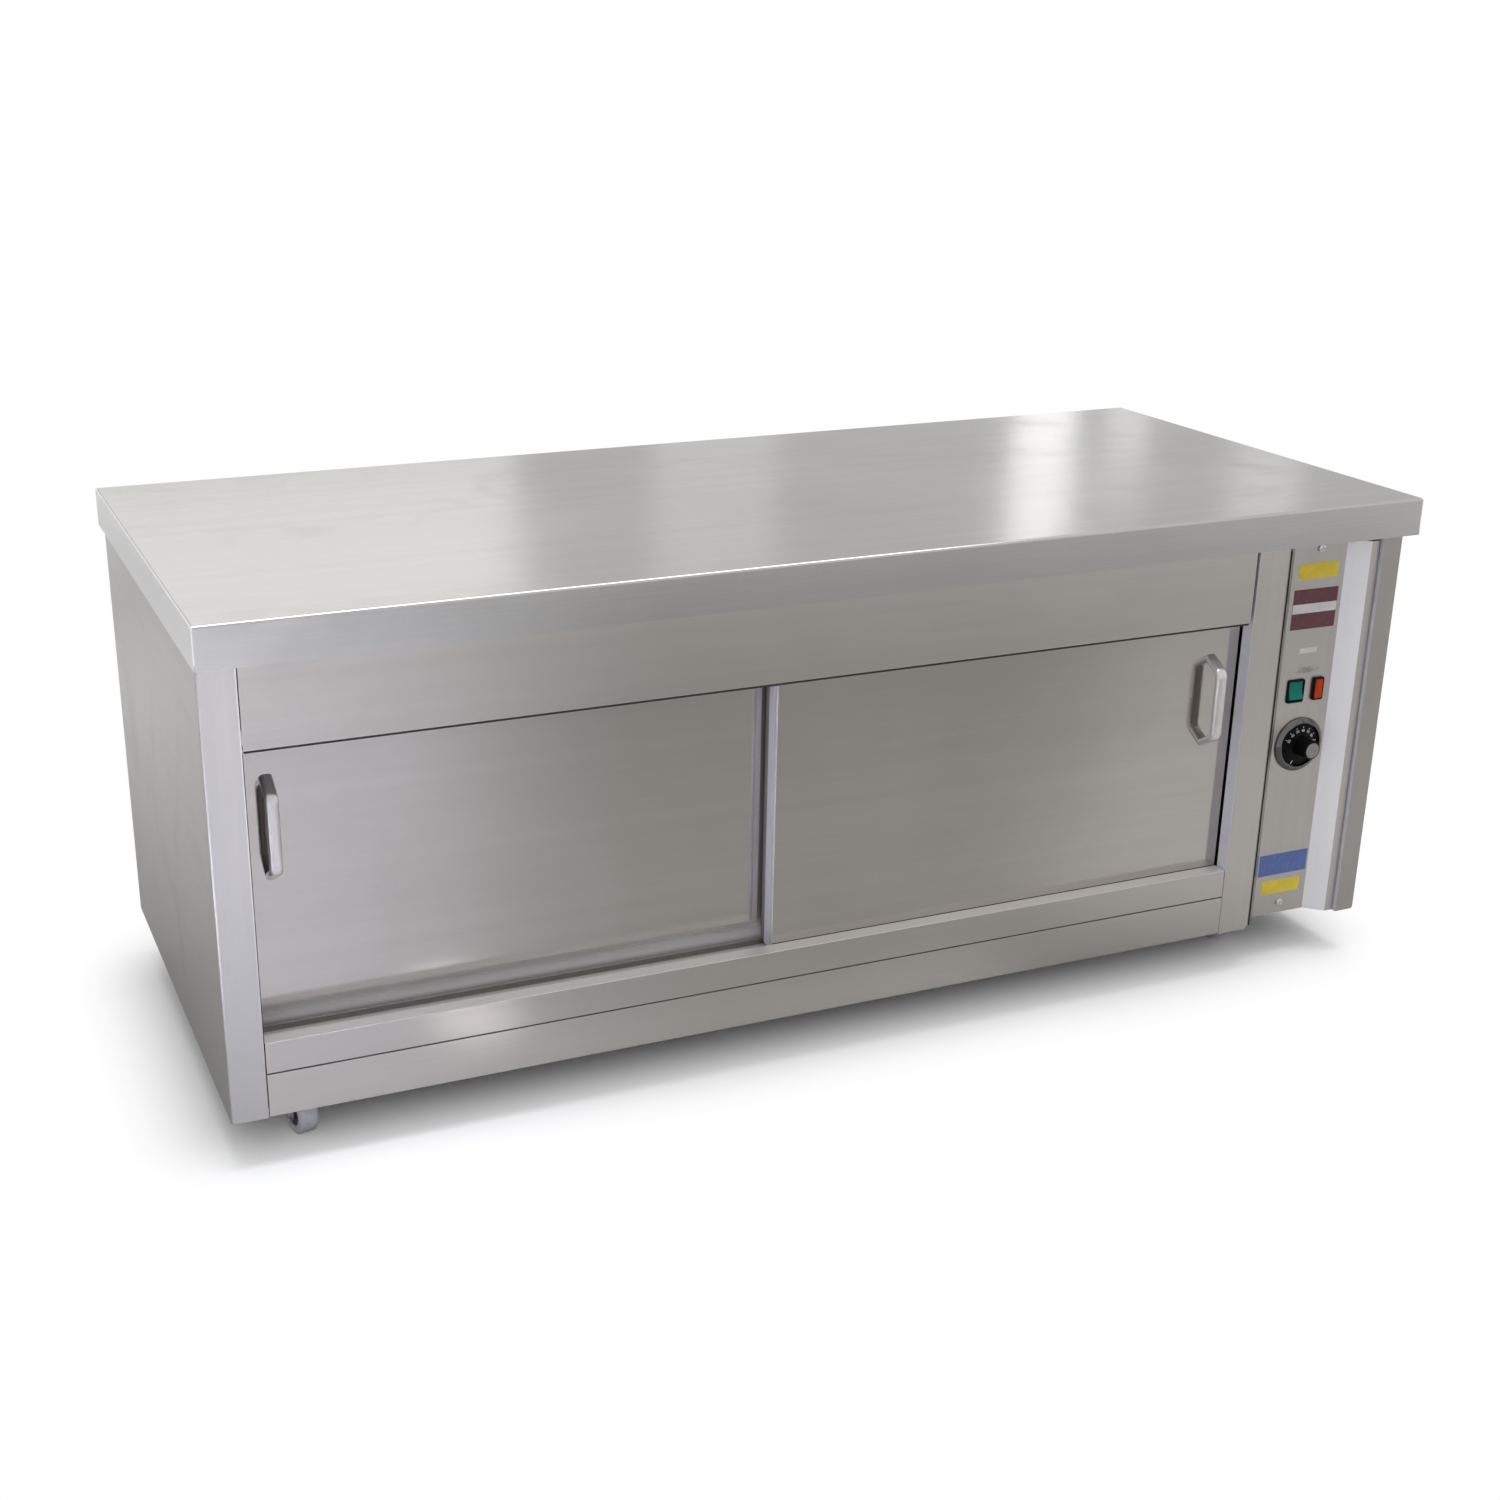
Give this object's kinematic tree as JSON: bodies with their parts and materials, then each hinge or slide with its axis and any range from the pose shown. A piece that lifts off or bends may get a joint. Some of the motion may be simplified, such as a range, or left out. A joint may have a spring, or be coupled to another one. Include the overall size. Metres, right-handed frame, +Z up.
{
  "type": "hot cupboard",
  "caption": "Low stainless steel hot cupboard with a thick-edged worktop, two sliding bypass doors with bow handles, a recessed control bay at the right end and swivel castors.",
  "frame": {"origin": "on the floor under the middle of the worktop", "axes": "+X to the right along the worktop as seen from the front, +Y from the front to the back, +Z up"},
  "size_m": [1.5, 0.645, 0.62],
  "materials": {
    "stainless": "satin",
    "door_steel": "polished satin",
    "handle_steel": "polished",
    "plated_steel": "zinc plated",
    "bright_tray": "bright",
    "mineral_wool": "matt",
    "element_sheath": "oxidised",
    "pale_plastic": "matt",
    "black_plastic": "gloss",
    "green_plastic": "gloss",
    "amber_lens": "gloss",
    "chrome": "polished",
    "copper": "satin",
    "black_rubber": "matt",
    "grey_tyre": "matt"
  },
  "bodies": {
    "cabinet": {"worktop": "stainless", "worktop_stiffeners": "plated_steel", "left_side_panel": "stainless", "right_end_panel": "stainless", "bay_partition": "stainless", "bay_header": "plated_steel", "back_panel": "stainless", "base_pan": "plated_steel", "front_fascia": "stainless", "sill_channel": "stainless", "plinth_strip": "stainless", "top_track": "plated_steel", "track_stops": "black_rubber", "liner_ends": "stainless", "liner_back": "stainless", "liner_ceiling": "stainless", "floor_deck": "stainless", "insulation": "mineral_wool", "shelf": "stainless", "shelf_rails": "plated_steel", "element_tray": "bright_tray", "heating_element": "element_sheath", "control_panel": "stainless", "panel_screws": "plated_steel", "thermostat_body": "pale_plastic", "thermostat_bulb": "copper", "rocker_housing": "black_plastic", "neon_bezel": "black_plastic", "neon_lens": "amber_lens", "dial_bezel": "chrome", "terminal_block": "pale_plastic", "cable_gland": "black_plastic", "castor_plates": "plated_steel", "castor_bolts": "plated_steel"},
    "left_door": {"left_door_skin": "door_steel", "left_door_pan": "stainless", "left_door_core": "mineral_wool", "left_handle": "handle_steel", "left_hangers": "plated_steel"},
    "right_door": {"right_door_skin": "door_steel", "right_door_pan": "stainless", "right_door_core": "mineral_wool", "right_handle": "handle_steel", "right_hangers": "plated_steel"},
    "left_outer_rollers": {"left_rollers_outer": "pale_plastic"},
    "left_inner_rollers": {"left_rollers_inner": "pale_plastic"},
    "right_outer_rollers": {"right_rollers_outer": "pale_plastic"},
    "right_inner_rollers": {"right_rollers_inner": "pale_plastic"},
    "knob": {"thermostat_knob": "black_plastic", "knob_cap": "chrome", "thermostat_spindle": "plated_steel"},
    "rocker": {"rocker_key": "green_plastic"},
    "castor_fl": {"castor_fork_fl": "plated_steel"},
    "wheel_fl": {"castor_wheel_fl": "grey_tyre"},
    "castor_fr": {"castor_fork_fr": "plated_steel"},
    "wheel_fr": {"castor_wheel_fr": "grey_tyre"},
    "castor_bl": {"castor_fork_bl": "plated_steel"},
    "wheel_bl": {"castor_wheel_bl": "grey_tyre"},
    "castor_br": {"castor_fork_br": "plated_steel"},
    "wheel_br": {"castor_wheel_br": "grey_tyre"}
  },
  "joints": [
    {"name": "left_door_slide", "type": "slide", "parent": "cabinet", "child": "left_door", "axis": [1, 0, 0], "range_m": [0, 0.56]},
    {"name": "right_door_slide", "type": "slide", "parent": "cabinet", "child": "right_door", "axis": [1, 0, 0], "range_m": [-0.56, 0]},
    {"name": "left_outer_roller_turn", "type": "hinge", "parent": "left_door", "child": "left_outer_rollers", "pos_m": [-0.655, -0.236, 0.5058], "axis": [0, 1, 0], "range_deg": [0, 3210]},
    {"name": "left_inner_roller_turn", "type": "hinge", "parent": "left_door", "child": "left_inner_rollers", "pos_m": [-0.135, -0.236, 0.5058], "axis": [0, 1, 0], "range_deg": [0, 3210]},
    {"name": "right_outer_roller_turn", "type": "hinge", "parent": "right_door", "child": "right_outer_rollers", "pos_m": [0.478, -0.269, 0.5058], "axis": [0, 1, 0], "range_deg": [-3210, 0]},
    {"name": "right_inner_roller_turn", "type": "hinge", "parent": "right_door", "child": "right_inner_rollers", "pos_m": [-0.042, -0.269, 0.5058], "axis": [0, 1, 0], "range_deg": [-3210, 0]},
    {"name": "knob_turn", "type": "hinge", "parent": "cabinet", "child": "knob", "pos_m": [0.6415, -0.2765, 0.299], "axis": [0, 1, 0], "range_deg": [0, 270]},
    {"name": "rocker_tilt", "type": "hinge", "parent": "cabinet", "child": "rocker", "pos_m": [0.627, -0.2735, 0.372], "axis": [1, 0, 0], "range_deg": [0, 20]},
    {"name": "castor_fl_swivel", "type": "hinge", "parent": "cabinet", "child": "castor_fl", "pos_m": [-0.663, -0.2165, 0.06], "axis": [0, 0, 1], "continuous": true},
    {"name": "wheel_fl_roll", "type": "hinge", "parent": "castor_fl", "child": "wheel_fl", "pos_m": [-0.6585, -0.23599, 0.025], "axis": [0.9744, 0.225, 0], "continuous": true},
    {"name": "castor_fr_swivel", "type": "hinge", "parent": "cabinet", "child": "castor_fr", "pos_m": [0.607, -0.2165, 0.06], "axis": [0, 0, 1], "continuous": true},
    {"name": "wheel_fr_roll", "type": "hinge", "parent": "castor_fr", "child": "wheel_fr", "pos_m": [0.6025, -0.19701, 0.025], "axis": [-0.9744, -0.225, 0], "continuous": true},
    {"name": "castor_bl_swivel", "type": "hinge", "parent": "cabinet", "child": "castor_bl", "pos_m": [-0.663, 0.223, 0.06], "axis": [0, 0, 1], "continuous": true},
    {"name": "wheel_bl_roll", "type": "hinge", "parent": "castor_bl", "child": "wheel_bl", "pos_m": [-0.6585, 0.20351, 0.025], "axis": [0.9744, 0.225, 0], "continuous": true},
    {"name": "castor_br_swivel", "type": "hinge", "parent": "cabinet", "child": "castor_br", "pos_m": [0.607, 0.223, 0.06], "axis": [0, 0, 1], "continuous": true},
    {"name": "wheel_br_roll", "type": "hinge", "parent": "castor_br", "child": "wheel_br", "pos_m": [0.6115, 0.20351, 0.025], "axis": [0.9744, 0.225, 0], "continuous": true}
  ],
  "couplings": [
    {"joint": "left_outer_roller_turn", "follows": "left_door_slide", "rad_per_m": 100},
    {"joint": "left_inner_roller_turn", "follows": "left_door_slide", "rad_per_m": 100},
    {"joint": "right_outer_roller_turn", "follows": "right_door_slide", "rad_per_m": 100},
    {"joint": "right_inner_roller_turn", "follows": "right_door_slide", "rad_per_m": 100}
  ]
}
